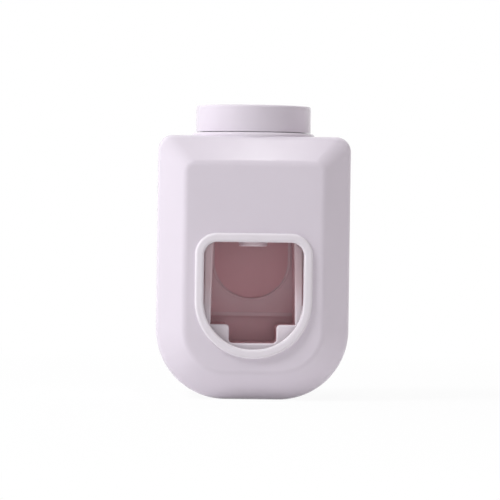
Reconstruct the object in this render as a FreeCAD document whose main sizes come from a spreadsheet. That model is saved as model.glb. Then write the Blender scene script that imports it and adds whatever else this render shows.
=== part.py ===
"""Wall-hung toothpaste dispenser: bevelled casing, capped tube neck, brush window, lever-driven pump.

Frame: X to the right, Y from the front to the wall, Z up. The origin is under the middle of the part.
All sizes are in millimetres.
"""

import FreeCAD, Part
import math
import os
import re
import sys

import Sketcher
from FreeCAD import Placement, Rotation, Vector

# Driving sizes, by the piece that they shape
SIZES = {
    # casing
    "shell_width": 78.0,
    "shell_height": 106.5,
    "shell_depth": 61.0,
    "shell_wall": 2.2,
    "shell_top_radius": 6.0,
    "shell_bottom_radius": 28.3,
    "bevel_inset": 11.0,
    "bevel_depth": 10.0,
    "face_top_radius": 4.5,
    "bevel_front_blend": 3.5,
    "bevel_rear_blend": 4.0,
    "boss_length": 14.0,
    "boss_overlap": 0.6,
    "boss_land": 0.8,
    # window and its trim ring
    "window_width": 40.0,
    "window_height": 43.0,
    "window_drop": 42.9,
    "window_top_radius": 5.2,
    "window_flat": 1.0,
    "bezel_band": 3.7,
    "bezel_proud": 1.6,
    "bezel_blend": 1.2,
    "bezel_sleeve": 1.2,
    "bezel_tail": 1.0,
    # neck, tube socket and cap
    "tube_radius": 17.0,
    "tube_depth": 13.1,
    "socket_wall": 1.7,
    "socket_flange": 1.2,
    "neck_wall": 1.6,
    "neck_land": 0.8,
    "collar_lap": 1.65,
    "collar_height": 1.6,
    "collar_blend": 1.4,
    "spigot_radius": 5.5,
    "spigot_bore": 4.0,
    "spigot_length": 1.8,
    "seal_radius": 12.0,
    "seal_bore": 6.5,
    "seal_height": 2.5,
    "seal_bevel": 1.2,
    "cap_height": 10.8,
    "cap_wall": 2.0,
    "cap_side": 2.5,
    "cap_blend": 0.9,
    "cap_seam": 0.3,
    "liner_thickness": 0.7,
    # brush guide behind the window
    "guide_setback": 5.5,
    "guide_thickness": 2.0,
    "guide_side_lap": 7.5,
    "guide_bottom_lap": 4.8,
    "guide_top_lap": 4.4,
    "guide_bottom_radius": 21.5,
    "guide_top_radius": 3.0,
    "mouth_top_inset": 3.8,
    "mouth_bottom_inset": 2.9,
    "mouth_top_lap": 2.4,
    "notch_width": 19.1,
    "notch_rise": 2.3,
    "notch_depth": 7.5,
    "notch_corner": 1.6,
    "mouth_edge": 0.7,
    "tunnel_wall": 1.6,
    "tunnel_flange": 1.4,
    "tunnel_flange_inset": 1.0,
    "guide_slot_inset": 0.35,
    "guide_slot_width": 1.2,
    "guide_slot_low": 17.6,
    "guide_slot_high": 2.6,
    "guide_post_radius": 2.8,
    "guide_post_inset": 2.5,
    "guide_post_low": 7.4,
    "guide_post_high": 1.6,
    # pump
    "nozzle_setback": 16.5,
    "nozzle_radius": 5.85,
    "nozzle_drop": 1.8,
    "nozzle_top_gap": 0.7,
    "nozzle_bore": 3.2,
    "nozzle_socket_depth": 5.2,
    "nozzle_blend": 0.8,
    "outlet_radius": 4.2,
    "outlet_bore": 2.6,
    "pump_rise": 12.0,
    "pump_radius": 9.5,
    "pump_wall": 2.0,
    "pump_front_reach": 9.5,
    "pump_flange": 3.0,
    "pump_flange_land": 1.3,
    "pump_screw_inset": 3.0,
    "pump_screw_z": 6.5,
    "inlet_ring_radius": 6.6,
    "inlet_ring_bore": 4.9,
    "inlet_ring_rise": 0.9,
    "duct_half_width": 7.5,
    "duct_wall": 1.5,
    "flow_hole_radius": 0.9,
    "flow_hole_circle": 2.8,
    "flap_radius": 4.2,
    "flap_thickness": 0.8,
    "flap_stem": 1.1,
    "flap_bulb": 1.8,
    "flap_bulb_height": 1.4,
    "bill_flange": 1.0,
    "bill_radius": 2.5,
    "bill_setback": 0.8,
    "bill_tip": 1.0,
    "bill_slit": 0.2,
    "bill_wall": 0.6,
    "bellows_radius": 7.2,
    "bellows_root": 5.2,
    "bellows_wall": 0.9,
    "bellows_length": 13.5,
    "bellows_flange_radius": 9.2,
    "bellows_flange": 1.2,
    # frame that carries the pump and the lever
    "frame_setback": 25.5,
    "frame_wall": 2.5,
    "frame_pin_land": 4.0,
    "frame_top_land": 0.9,
    "frame_half_width": 19.5,
    "foot_radius": 3.4,
    "foot_length": 10.0,
    "foot_drop": 4.0,
    # push lever
    "pivot_rise": 5.4,
    "pin_radius": 1.5,
    "pin_head_radius": 2.6,
    "pin_head": 1.0,
    "clip_radius": 3.0,
    "clip_thickness": 0.8,
    "clip_groove": 0.4,
    "clip_tail": 0.8,
    "bush_radius": 2.6,
    "bush_flange_radius": 3.6,
    "bush_flange": 0.8,
    "bush_length": 6.0,
    "hub_radius": 4.6,
    "hub_end_gap": 0.3,
    "spine_half_width": 7.0,
    "spine_thickness": 3.5,
    "spine_rise": 3.0,
    "arm_thickness": 3.0,
    "arm_land": 2.0,
    "pad_radius": 5.0,
    "pad_thickness": 1.5,
    "pad_spigot_radius": 1.8,
    "pad_spigot": 1.8,
    "plate_thickness": 2.6,
    "plate_side_lap": 1.1,
    "plate_rise": 2.6,
    "plate_stop_gap": 0.3,
    "plate_corner": 2.0,
    "lip_height": 1.5,
    "lip_proud": 0.7,
    "lip_width": 30.6,
    "recess_width": 30.8,
    "recess_rise": 7.4,
    "recess_depth": 1.2,
    "recess_edge": 0.5,
    "rim_width": 0.8,
    "rim_proud": 0.5,
    "rim_blend": 0.2,
    "skirt_drop": 12.0,
    "skirt_setback": 1.0,
    "plate_screw_x": 4.5,
    "plate_screw_rise": 5.2,
    # return spring
    "spring_rise": 17.0,
    "spring_radius": 3.6,
    "spring_wire": 0.7,
    "spring_seat_depth": 1.2,
    "spring_post_radius": 2.4,
    "spring_post_length": 4.0,
    # back cover and wall plate
    "cover_thickness": 2.5,
    "wall_plate_width": 44.0,
    "wall_plate_height": 58.0,
    "wall_plate_thickness": 2.0,
    "wall_plate_radius": 6.0,
    "wall_plate_drop": 19.5,
    "adhesive_margin": 2.0,
    "adhesive_thickness": 1.0,
    "hook_width": 8.0,
    "hook_neck": 2.4,
    "hook_lip": 4.6,
    "hook_thickness": 1.8,
    "hook_drop": 9.0,
    "hook_spacing": 20.0,
    "hook_travel": 5.2,
    # screws, and the room between pieces
    "screw_radius": 1.2,
    "screw_length": 8.0,
    "screw_head_radius": 2.4,
    "screw_head": 1.5,
    "screw_slot": 0.6,
    "screw_slot_depth": 0.7,
    "screw_slot_share": 0.7,
    "screw_cover": 0.8,
    "fit_gap": 0.2,
    "press_gap": 0.05,
    "run_gap": 0.04,
    "move_gap": 0.6,
    "cut_overrun": 1.0,
}
COUNTS = {"bellows_folds": 3, "spring_turns": 6, "flow_holes": 4}

# Places worked out from the driving sizes, each from those above it
PLACES = {
    # depth, from the front face back to the wall
    "front_y": "bezel_proud - (bezel_proud + shell_depth + wall_plate_thickness + adhesive_thickness) / 2",
    "rear_y": "front_y + shell_depth",
    "bevel_y": "front_y + bevel_depth",
    "cover_y": "rear_y - cover_thickness",
    "plate_rear_y": "rear_y + wall_plate_thickness",
    "wall_y": "plate_rear_y + adhesive_thickness",
    "inner_front_y": "front_y + shell_wall",
    "bevel_run": "sqrt(bevel_inset * bevel_inset + bevel_depth * bevel_depth)",
    "inner_inset": "bevel_inset + shell_wall * (bevel_run - bevel_inset) / bevel_depth",
    "inner_bevel_y": "bevel_y + shell_wall * (bevel_run - bevel_depth) / bevel_inset",
    "guide_y": "front_y + guide_setback",
    "guide_back": "guide_y + guide_thickness",
    "tunnel_front": "guide_back + tunnel_flange",
    "nozzle_y": "front_y + nozzle_setback",
    "pump_front": "nozzle_y - pump_front_reach",
    "frame_y": "front_y + frame_setback",
    "frame_back": "frame_y + frame_wall",
    "bellows_end": "frame_y + bellows_length",
    "arm_y": "bellows_end + run_gap + pad_thickness",
    "arm_back": "arm_y + arm_thickness",
    "pivot_y": "arm_y",
    "spine_y": "arm_back - spine_thickness",
    "plate_y": "spine_y - plate_thickness",
    "tunnel_y": "plate_y - plate_stop_gap",
    # radii round the neck
    "neck_bore": "tube_radius + socket_wall + fit_gap",
    "neck_radius": "neck_bore + neck_wall",
    "cap_bore": "neck_radius + move_gap",
    "cap_radius": "cap_bore + cap_side",
    "collar_radius": "cap_radius + collar_lap",
    "neck_y": "rear_y - neck_land - collar_radius",
    # heights, from the cap down
    "collar_top": "shell_height + collar_height",
    "cap_bottom": "collar_top + cap_seam",
    "cap_top": "cap_bottom + cap_height",
    "socket_top": "cap_top - cap_wall - liner_thickness",
    "neck_top": "socket_top - socket_flange",
    "tube_floor": "socket_top - tube_depth",
    "seal_floor": "tube_floor - seal_height",
    "socket_bottom": "seal_floor - socket_wall",
    "spigot_bottom": "socket_bottom - spigot_length",
    "window_top": "shell_height - window_drop",
    "window_sill": "window_top - window_height",
    "window_bottom_radius": "(window_width - window_flat) / 2",
    "notch_sill": "window_sill + notch_rise",
    "shoulder_z": "notch_sill + notch_depth",
    "mouth_top_z": "window_top + mouth_top_lap",
    "plate_bottom": "shoulder_z + plate_rise",
    "plate_top": "window_top",
    "pivot_z": "window_top + pivot_rise",
    "pump_z": "pivot_z + pump_rise",
    "pump_bore": "pump_radius - pump_wall",
    "duct_bottom": "pump_z + pump_radius + inlet_ring_rise",
    "duct_top": "socket_bottom",
    "frame_bottom": "pivot_z - frame_pin_land",
    "frame_top": "pump_z + bellows_flange_radius + frame_top_land",
    "foot_low_z": "pivot_z",
    "foot_high_z": "frame_top - foot_drop",
    "foot_x": "frame_half_width - frame_wall / 2",
    "foot_outside": "foot_x + foot_radius",
    "nozzle_tip": "window_top - nozzle_drop",
    "nozzle_top": "pump_z - pump_radius - nozzle_top_gap",
    "nozzle_shoulder": "nozzle_top - nozzle_socket_depth",
    "outlet_bottom": "nozzle_shoulder + bill_flange",
    "bill_bottom": "nozzle_tip + bill_setback",
    "spring_z": "plate_bottom + spring_rise",
    # widths
    "mouth_top_x": "window_width / 2 - mouth_top_inset",
    "mouth_bottom_x": "window_width / 2 - mouth_bottom_inset",
    "plate_x": "mouth_bottom_x + plate_side_lap",
    "cheek_x": "frame_half_width - frame_wall",
    "hub_x": "cheek_x - hub_end_gap - bush_flange",
    "pump_screw_x": "cheek_x - pump_screw_inset",
    # screw bosses and the cover that they hold
    "cover_inset": "shell_wall + fit_gap",
    "boss_inset": "cover_inset + boss_land + screw_head_radius + fit_gap",
    "boss_radius": "boss_inset - shell_wall + boss_overlap",
    "boss_reach": "shell_bottom_radius - boss_inset",
    "boss_top_x": "shell_width / 2 - boss_inset",
    "boss_top_z": "shell_height - boss_inset",
    "boss_low_x": "shell_width / 2 - shell_bottom_radius + boss_reach * cos(45)",
    "boss_low_z": "shell_bottom_radius - boss_reach * cos(45)",
    "guide_post_x": "window_width / 2 + guide_side_lap - guide_post_inset",
    "guide_post_low_z": "window_sill + guide_post_low",
    "guide_post_high_z": "window_top - guide_post_high",
    "screw_bore": "screw_radius + press_gap",
    "screw_recess": "screw_head + press_gap",
    # wall plate
    "wall_plate_top": "shell_height - wall_plate_drop",
    "wall_plate_bottom": "wall_plate_top - wall_plate_height",
    "hook_z": "wall_plate_top - hook_drop",
}

doc = FreeCAD.newDocument("toothpaste_dispenser")
sheet = doc.addObject("Spreadsheet::Sheet", "Sizes")
for row, (alias, number) in enumerate({**SIZES, **COUNTS}.items(), 1):
    sheet.set(f"A{row}", alias.replace("_", " "))
    sheet.set(f"B{row}", str(number))
    sheet.setAlias(f"B{row}", alias)
doc.recompute()
places = doc.addObject("App::VarSet", "Places")


def bound(text):
    """An expression of plain names, with each name tied to the sheet or to the worked-out places."""

    def owner(match):
        word = match.group(0)
        if word in SIZES or word in COUNTS:
            return "Sizes." + word
        return "Places." + word if word in PLACES else word

    return re.sub(r"[a-z][a-z_]*", owner, text)


for place, text in PLACES.items():
    places.addProperty("App::PropertyFloat", place)
    places.setExpression(place, bound(text))
doc.recompute()


def value(text):
    """The number that an expression of plain names comes to."""
    return float(sheet.evalExpression(bound(text)))


def tie(obj, **expressions):
    """Binds properties of an object to expressions. A double underscore in a name stands for a dot."""
    for name, text in expressions.items():
        obj.setExpression(name.replace("__", "."), bound(text))
    return obj


# Part primitives and booleans
TURNS = {
    "x": Rotation(Vector(0, 1, 0), 90),
    "y": Rotation(Vector(1, 0, 0), -90),
    "z": Rotation(),
}


def box(name, x, y, z):
    """A box between the low and high expressions on each axis."""
    made = doc.addObject("Part::Box", name)
    for axis, side, (low, high) in zip("xyz", ("Length", "Width", "Height"), (x, y, z)):
        made.setExpression(side, bound(f"({high}) - ({low})"))
        made.setExpression(f"Placement.Base.{axis}", bound(low))
    return made


def rod(name, along, radius, low, high, **centre):
    """A cylinder along an axis between two expressions, centred on expressions for the other axes."""
    made = doc.addObject("Part::Cylinder", name)
    made.Placement = Placement(Vector(), TURNS[along])
    tie(made, Radius=radius, Height=f"({high}) - ({low})")
    for axis, text in {**centre, along: low}.items():
        made.setExpression(f"Placement.Base.{axis}", bound(text))
    return made


def cone(name, low_radius, high_radius, low, high, **centre):
    """An upright cone frustum between two expressions."""
    made = doc.addObject("Part::Cone", name)
    tie(made, Radius1=low_radius, Radius2=high_radius, Height=f"({high}) - ({low})", Placement__Base__z=low)
    for axis, text in centre.items():
        made.setExpression(f"Placement.Base.{axis}", bound(text))
    return made


def through(low, high):
    """The ends of a cut that runs past both expressions."""
    return f"({low}) - cut_overrun", f"({high}) + cut_overrun"


def rods(name, radius, low, high, centres):
    """Equal fore-and-aft cylinders, each at an expression across and one up."""
    return [rod(f"{name}_{i}", "y", radius, low, high, x=x, z=z) for i, (x, z) in enumerate(centres)]


def fuse(name, *shapes):
    made = doc.addObject("Part::MultiFuse", name)
    made.Shapes = list(shapes)
    return made


def cut(name, base, *tools):
    made = doc.addObject("Part::Cut", name)
    made.Base = base
    made.Tool = tools[0] if len(tools) == 1 else fuse(name + "_tools", *tools)
    return made


def group(name, shapes):
    """Like pieces, kept apart, in one node."""
    made = doc.addObject("Part::Compound", name)
    made.Links = list(shapes)
    return made


# Bodies, sketches and their features
def new_body(name, **position):
    made = doc.addObject("PartDesign::Body", name)
    for axis, text in position.items():
        made.setExpression(f"Placement.Base.{axis}", bound(text))
    return made


def sketch_on(body, name, role, offset="0"):
    """A sketch on one of the body's own origin planes, moved along its normal."""
    made = body.newObject("Sketcher::SketchObject", name)
    plane = [f for f in body.Origin.OriginFeatures if f.Role == role][0]
    made.AttachmentSupport = [(plane, "")]
    made.MapMode = "FlatFace"
    made.setExpression("AttachmentOffset.Base.z", bound(offset))
    return made


def front_sketch(body, name, y):
    """A sketch seen from the front, at depth y. Its normal points to the front."""
    return sketch_on(body, name, "XZ_Plane", f"-({y})")


def pin_point(sketch, geometry, end, u, v):
    """Holds one end of a line, or a circle's centre, at two expressions."""
    for text, kind, axis in ((u, "DistanceX", -2), (v, "DistanceY", -1)):
        if text == "0":
            sketch.addConstraint(Sketcher.Constraint("PointOnObject", geometry, end, axis))
            continue
        index = sketch.addConstraint(Sketcher.Constraint(kind, -1, 1, geometry, end, value(text)))
        sketch.setExpression(f"Constraints[{index}]", bound(text))


def polygon(sketch, points):
    """A closed outline through points, each a pair of expressions, beside any that the sketch has."""
    at = [Vector(value(u), value(v), 0) for u, v in points]
    count = len(points)
    first = sketch.GeometryCount
    for i in range(count):
        sketch.addGeometry(Part.LineSegment(at[i], at[(i + 1) % count]), False)
    for i in range(count):
        sketch.addConstraint(Sketcher.Constraint("Coincident", first + i, 2, first + (i + 1) % count, 1))
    for i, (u, v) in enumerate(points):
        pin_point(sketch, first + i, 1, u, v)
    return sketch


def rectangle(sketch, x, z):
    """A rectangle between the low and high expressions across and up."""
    return polygon(sketch, [(x[0], z[0]), (x[1], z[0]), (x[1], z[1]), (x[0], z[1])])


def circle(sketch, u, v, radius):
    centre = Vector(value(u), value(v), 0)
    index = sketch.addGeometry(Part.Circle(centre, Vector(0, 0, 1), value(radius)), False)
    pin_point(sketch, index, 3, u, v)
    held = sketch.addConstraint(Sketcher.Constraint("Radius", index, value(radius)))
    sketch.setExpression(f"Constraints[{held}]", bound(radius))
    return sketch


def shield(sketch, half_width, low, high, low_radius, high_radius):
    """An upright outline with one radius for its upper corners and another for its lower ones."""
    w, z0, z1 = value(half_width), value(low), value(high)
    r0, r1 = value(low_radius), value(high_radius)
    corners = (
        (w - r1, z1 - r1, r1, 0),
        (w - r0, z0 + r0, r0, 270),
        (r0 - w, z0 + r0, r0, 180),
        (r1 - w, z1 - r1, r1, 90),
    )
    ends = (
        (Vector(r1 - w, z1, 0), Vector(w - r1, z1, 0)),
        (Vector(w, z1 - r1, 0), Vector(w, z0 + r0, 0)),
        (Vector(w - r0, z0, 0), Vector(r0 - w, z0, 0)),
        (Vector(-w, z0 + r0, 0), Vector(-w, z1 - r1, 0)),
    )
    for (start, end), (u, v, r, turn) in zip(ends, corners):
        sketch.addGeometry(Part.LineSegment(start, end), False)
        ring = Part.Circle(Vector(u, v, 0), Vector(0, 0, 1), r)
        sketch.addGeometry(Part.ArcOfCircle(ring, math.radians(turn), math.radians(turn + 90)), False)
    top, right, bottom, left = 0, 2, 4, 6
    for line in (top, right, bottom, left):
        sketch.addConstraint(Sketcher.Constraint("Tangent", line, 2, line + 1, 2))
        sketch.addConstraint(Sketcher.Constraint("Tangent", line + 1, 1, (line + 2) % 8, 1))
    for line in (right, left):
        sketch.addConstraint(Sketcher.Constraint("Vertical", line))
    for line in (top, bottom):
        sketch.addConstraint(Sketcher.Constraint("Horizontal", line))
    held = (
        (Sketcher.Constraint("Radius", right - 1, r1), high_radius),
        (Sketcher.Constraint("Radius", left + 1, r1), high_radius),
        (Sketcher.Constraint("Radius", bottom - 1, r0), low_radius),
        (Sketcher.Constraint("Radius", bottom + 1, r0), low_radius),
        (Sketcher.Constraint("DistanceX", -1, 1, right, 1, w), half_width),
        (Sketcher.Constraint("DistanceX", left, 1, -1, 1, w), half_width),
        (Sketcher.Constraint("DistanceY", -1, 1, top, 1, z1), high),
    )
    for constraint, text in held:
        index = sketch.addConstraint(constraint)
        sketch.setExpression(f"Constraints[{index}]", bound(text))
    if low == "0":
        sketch.addConstraint(Sketcher.Constraint("PointOnObject", bottom, 1, -1))
    else:
        index = sketch.addConstraint(Sketcher.Constraint("DistanceY", -1, 1, bottom, 1, z0))
        sketch.setExpression(f"Constraints[{index}]", bound(low))
    return sketch


def extrude(body, kind, sketch, length, reverse=False):
    """A Pad or Pocket of a sketch, by an expression for its length."""
    made = body.newObject("PartDesign::" + kind, f"{sketch.Name}_{kind.lower()}")
    made.Profile = sketch
    made.Reversed = reverse
    tie(made, Length=length)
    return made


def slab(body, sketch, y_low, y_high):
    """Material from a front sketch at y_low back to y_high."""
    return extrude(body, "Pad", sketch, f"({y_high}) - ({y_low})", reverse=True)


def opening(body, sketch, y_low, y_high):
    """A cut from a front sketch at y_low back to y_high."""
    return extrude(body, "Pocket", sketch, f"({y_high}) - ({y_low})")


def level_circle(body, name, z, radius):
    """A level sketch of a circle on the neck's axis."""
    return circle(sketch_on(body, name, "XY_Plane", z), "0", "neck_y", radius)


def circles(body, name, y, centres, radius):
    """A front sketch of equal circles."""
    sketch = front_sketch(body, name, y)
    for x, z in centres:
        circle(sketch, x, z, radius)
    return sketch


def ruled_loft(body, kind, start, end):
    """An additive or subtractive loft of straight lines between two sketches."""
    made = body.newObject("PartDesign::" + kind, f"{start.Name}_{kind.lower()}")
    made.Profile = start
    made.Sections = [end]
    made.Ruled = True
    return made


def turned(body, points, axis="z"):
    """A body of revolution of a profile of radius and height, about its upright or fore-and-aft axis."""
    role = {"z": "XZ_Plane", "y": "XY_Plane"}[axis]
    sketch = polygon(sketch_on(body, body.Name + "_profile", role), points)
    made = body.newObject("PartDesign::Revolution", body.Name + "_turned")
    made.Profile = sketch
    made.ReferenceAxis = (sketch, ["V_Axis"])
    made.Angle = 360
    return made


def rounded(body, base, test, radius):
    """A fillet on the edges of the base feature that pass a test."""
    doc.recompute()
    names = [f"Edge{i}" for i, edge in enumerate(base.Shape.Edges, 1) if test(edge)]
    made = body.newObject("PartDesign::Fillet", base.Name + "_fillet")
    made.Base = (base, names)
    return tie(made, Radius=radius)


TOLERANCE = 1e-4


def lies_at(axis, text):
    """A test for edges that lie whole in a plane across an axis, at an expression."""
    level = value(text)

    def test(edge):
        low = getattr(edge.BoundBox, axis.upper() + "Min")
        high = getattr(edge.BoundBox, axis.upper() + "Max")
        return abs(low - level) < TOLERANCE and abs(high - level) < TOLERANCE

    return test


def screw(name, x, z, head_y, length):
    """A pan-head screw that points to the front, with its head's underside at head_y."""
    head = rod(name + "_head", "y", "screw_head_radius", head_y, f"{head_y} + screw_head", x=x, z=z)
    shank = rod(name + "_shank", "y", "screw_radius", f"{head_y} - ({length})", head_y, x=x, z=z)
    slot_y = (f"{head_y} + screw_head - screw_slot_depth", f"{head_y} + screw_head + cut_overrun")
    reach = "screw_head_radius * screw_slot_share"

    def slot(axis, x_reach, z_reach):
        across = (f"{x} - {x_reach}", f"{x} + {x_reach}")
        upright = (f"{z} - {z_reach}", f"{z} + {z_reach}")
        return box(f"{name}_slot_{axis}", across, slot_y, upright)

    slots = slot("x", reach, "screw_slot / 2"), slot("z", "screw_slot / 2", reach)
    return cut(name, fuse(name + "_blank", head, shank), *slots)


def screws(name, centres, head_y, length):
    """A node of equal screws."""
    made = [screw(f"{name}_{i}", x, z, head_y, length) for i, (x, z) in enumerate(centres)]
    return group(name, made)


# Screw places that two or more pieces share, each across and up
SIDES = ("", "-")


def both_sides(*right):
    """Places on the right, and then their mirror images on the left."""
    return [(side + x, z) for side in SIDES for x, z in right]


GUIDE_POSTS = both_sides(("guide_post_x", "guide_post_low_z"), ("guide_post_x", "guide_post_high_z"))
COVER_BOSSES = both_sides(("boss_low_x", "boss_low_z"), ("boss_top_x", "boss_top_z"))
PUMP_SCREWS = both_sides(
    ("pump_screw_x", "pump_z - pump_screw_z"),
    ("pump_screw_x", "pump_z + pump_screw_z"),
)
FEET = both_sides(("foot_x", "foot_low_z"), ("foot_x", "foot_high_z"))
PLATE_SCREWS = both_sides(("plate_screw_x", "plate_bottom + plate_screw_rise"))


def window_outline(sketch, spread):
    """The window's outline, spread outwards by an expression."""
    return shield(
        sketch, f"window_width / 2 + {spread}", f"window_sill - ({spread})", f"window_top + {spread}",
        f"window_bottom_radius + {spread}", f"window_top_radius + {spread}",
    )


# Front shell: a bevelled tray, open at the back, with a neck on top and a window in its face
front_shell = new_body("front_shell")
rim = shield(
    front_sketch(front_shell, "shell_rim", "bevel_y"),
    "shell_width / 2", "0", "shell_height", "shell_bottom_radius", "shell_top_radius",
)
face = shield(
    front_sketch(front_shell, "shell_face", "front_y"),
    "shell_width / 2 - bevel_inset", "bevel_inset", "shell_height - bevel_inset",
    "shell_bottom_radius - bevel_inset", "face_top_radius",
)
slab(front_shell, rim, "bevel_y", "rear_y")
blank = ruled_loft(front_shell, "AdditiveLoft", rim, face)
blank = rounded(front_shell, blank, lies_at("y", "front_y"), "bevel_front_blend")
blank = rounded(front_shell, blank, lies_at("y", "bevel_y"), "bevel_rear_blend")
inner_rim = shield(
    front_sketch(front_shell, "cavity_rim", "inner_bevel_y"),
    "shell_width / 2 - shell_wall", "shell_wall", "shell_height - shell_wall",
    "shell_bottom_radius - shell_wall", "shell_top_radius - shell_wall",
)
inner_face = shield(
    front_sketch(front_shell, "cavity_face", "inner_front_y"),
    "shell_width / 2 - inner_inset", "inner_inset", "shell_height - inner_inset",
    "shell_bottom_radius - inner_inset",
    "face_top_radius * (shell_top_radius - shell_wall) / shell_top_radius",
)
opening(front_shell, inner_rim, "inner_bevel_y", "rear_y + cut_overrun")
ruled_loft(front_shell, "SubtractiveLoft", inner_rim, inner_face)
face_ends = through("front_y", "inner_front_y")
window = window_outline(front_sketch(front_shell, "shell_window", face_ends[0]), "bezel_sleeve + fit_gap")
opening(front_shell, window, *face_ends)
neck_root = "shell_height - shell_wall"
collar = level_circle(front_shell, "collar", neck_root, "collar_radius")
collar_pad = extrude(front_shell, "Pad", collar, "shell_wall + collar_height")
rounded(front_shell, collar_pad, lies_at("z", "collar_top"), "collar_blend")
neck = level_circle(front_shell, "neck", neck_root, "neck_radius")
extrude(front_shell, "Pad", neck, f"neck_top - ({neck_root})")
bore = level_circle(front_shell, "neck_hole", "neck_top + cut_overrun", "neck_bore")
extrude(front_shell, "Pocket", bore, "neck_top - socket_bottom + 2 * cut_overrun")
posts = circles(front_shell, "guide_posts", "guide_y", GUIDE_POSTS, "guide_post_radius")
extrude(front_shell, "Pad", posts, "guide_y - inner_front_y + shell_wall / 2")
post_holes = circles(front_shell, "guide_post_holes", "guide_y", GUIDE_POSTS, "screw_bore")
extrude(front_shell, "Pocket", post_holes, "guide_y - inner_front_y", reverse=True)
bosses = circles(front_shell, "cover_bosses", "cover_y", COVER_BOSSES, "boss_radius")
extrude(front_shell, "Pad", bosses, "boss_length")
boss_holes = circles(front_shell, "cover_boss_holes", "cover_y", COVER_BOSSES, "screw_bore")
extrude(front_shell, "Pocket", boss_holes, "screw_length", reverse=True)

# Window bezel: a raised trim ring with a sleeve that lines the window
window_bezel = new_body("window_bezel")
bezel_front = "front_y - bezel_proud"
band = window_outline(front_sketch(window_bezel, "bezel_band_outline", bezel_front), "bezel_band")
slab(window_bezel, band, bezel_front, "front_y")
sleeve = window_outline(front_sketch(window_bezel, "bezel_sleeve_outline", "front_y"), "bezel_sleeve")
slab(window_bezel, sleeve, "front_y", "inner_front_y + bezel_tail")
hole_ends = through(bezel_front, "inner_front_y + bezel_tail")
hole = window_outline(front_sketch(window_bezel, "bezel_hole", hole_ends[0]), "0")
bored_bezel = opening(window_bezel, hole, *hole_ends)
rounded(window_bezel, bored_bezel, lies_at("y", bezel_front), "bezel_blend")


def mouth_outline(sketch, spread, top):
    """The notched mouth that a brush goes in by, spread outwards by an expression."""
    right = [
        (f"mouth_top_x + {spread}", top),
        (f"mouth_bottom_x + {spread}", f"shoulder_z - ({spread})"),
        (f"notch_width / 2 + {spread}", f"shoulder_z - ({spread})"),
        (f"notch_width / 2 + {spread}", f"notch_sill - ({spread})"),
    ]
    return polygon(sketch, right + [(f"-({x})", z) for x, z in reversed(right)])


def guide_shield(sketch, inset):
    """The guide plate's outline, drawn in by an expression."""
    return shield(
        sketch, f"window_width / 2 + guide_side_lap - {inset}", f"window_sill - guide_bottom_lap + {inset}",
        f"window_top + guide_top_lap - {inset}",
        f"guide_bottom_radius - {inset}", f"guide_top_radius - {inset}",
    )


# Brush guide: a notched plate behind the window
brush_guide = new_body("brush_guide")
guide_outline = guide_shield(front_sketch(brush_guide, "guide_outline", "guide_y"), "0")
slab(brush_guide, guide_outline, "guide_y", "guide_back")
guide_ends = through("guide_y", "guide_back")
mouth = mouth_outline(front_sketch(brush_guide, "guide_mouth", guide_ends[0]), "0", "mouth_top_z")
guide_bored = opening(brush_guide, mouth, *guide_ends)


def notch_edge(edge):
    """The notch's edges along the depth, at its shoulders and at its sill."""
    extent = edge.BoundBox
    upright_gap = abs(abs(extent.Center.x) - value("notch_width / 2"))
    return extent.YLength > TOLERANCE and extent.XLength < TOLERANCE and upright_gap < TOLERANCE


guide_notched = rounded(brush_guide, guide_bored, notch_edge, "notch_corner")


def mouth_front_edge(edge):
    """The edges round the mouth in the guide's front plane."""
    extent = edge.BoundBox
    across = max(-extent.XMin, extent.XMax) < value("mouth_bottom_x") + TOLERANCE
    above_sill = extent.ZMin > value("notch_sill") - TOLERANCE
    below_top = extent.ZMax < value("mouth_top_z") + TOLERANCE
    return across and above_sill and below_top and lies_at("y", "guide_y")(edge)


rounded(brush_guide, guide_notched, mouth_front_edge, "mouth_edge")
guide_holes = circles(brush_guide, "guide_holes", guide_ends[0], GUIDE_POSTS, "screw_radius + fit_gap")
opening(brush_guide, guide_holes, *guide_ends)
slot_inside = "window_width / 2 - guide_slot_inset"
slot_heights = ("window_sill + guide_slot_low", "window_top - guide_slot_high")
for slot_side, slot_ends in (
    ("right", (slot_inside, f"{slot_inside} + guide_slot_width")),
    ("left", (f"-({slot_inside}) - guide_slot_width", f"-({slot_inside})")),
):
    slot_sketch = front_sketch(brush_guide, "guide_slot_" + slot_side, guide_ends[0])
    opening(brush_guide, rectangle(slot_sketch, slot_ends, slot_heights), *guide_ends)

# Brush tunnel: a flange behind the guide, and a roofless channel that runs back to the push plate
brush_tunnel = new_body("brush_tunnel")
tunnel_flange_outline = guide_shield(
    front_sketch(brush_tunnel, "tunnel_flange_outline", "guide_back"), "tunnel_flange_inset",
)
slab(brush_tunnel, tunnel_flange_outline, "guide_back", "tunnel_front")
channel = mouth_outline(
    front_sketch(brush_tunnel, "channel_outside", "guide_back"), "fit_gap + tunnel_wall", "window_top",
)
slab(brush_tunnel, channel, "guide_back", "tunnel_y")
channel_ends = through("guide_back", "tunnel_y")
hollow_sketch = front_sketch(brush_tunnel, "channel_inside", channel_ends[0])
hollow = mouth_outline(hollow_sketch, "fit_gap", "mouth_top_z")
channel_bored = opening(brush_tunnel, hollow, *channel_ends)


def channel_edge(edge):
    """The channel's edges along its whole depth, where its notch turns."""
    extent = edge.BoundBox
    upright_gap = abs(abs(extent.Center.x) - value("notch_width / 2 + fit_gap"))
    whole = extent.YLength > value("tunnel_y - guide_back") - TOLERANCE
    return whole and extent.XLength < TOLERANCE and upright_gap < TOLERANCE


rounded(brush_tunnel, channel_bored, channel_edge, "notch_corner")
flange_ends = through("guide_back", "tunnel_front")
flange_holes = circles(brush_tunnel, "flange_holes", flange_ends[0], GUIDE_POSTS, "screw_radius + fit_gap")
opening(brush_tunnel, flange_holes, *flange_ends)
guide_screws = screws("guide_screws", GUIDE_POSTS, "tunnel_front", "tunnel_front - inner_front_y - fit_gap")

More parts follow.
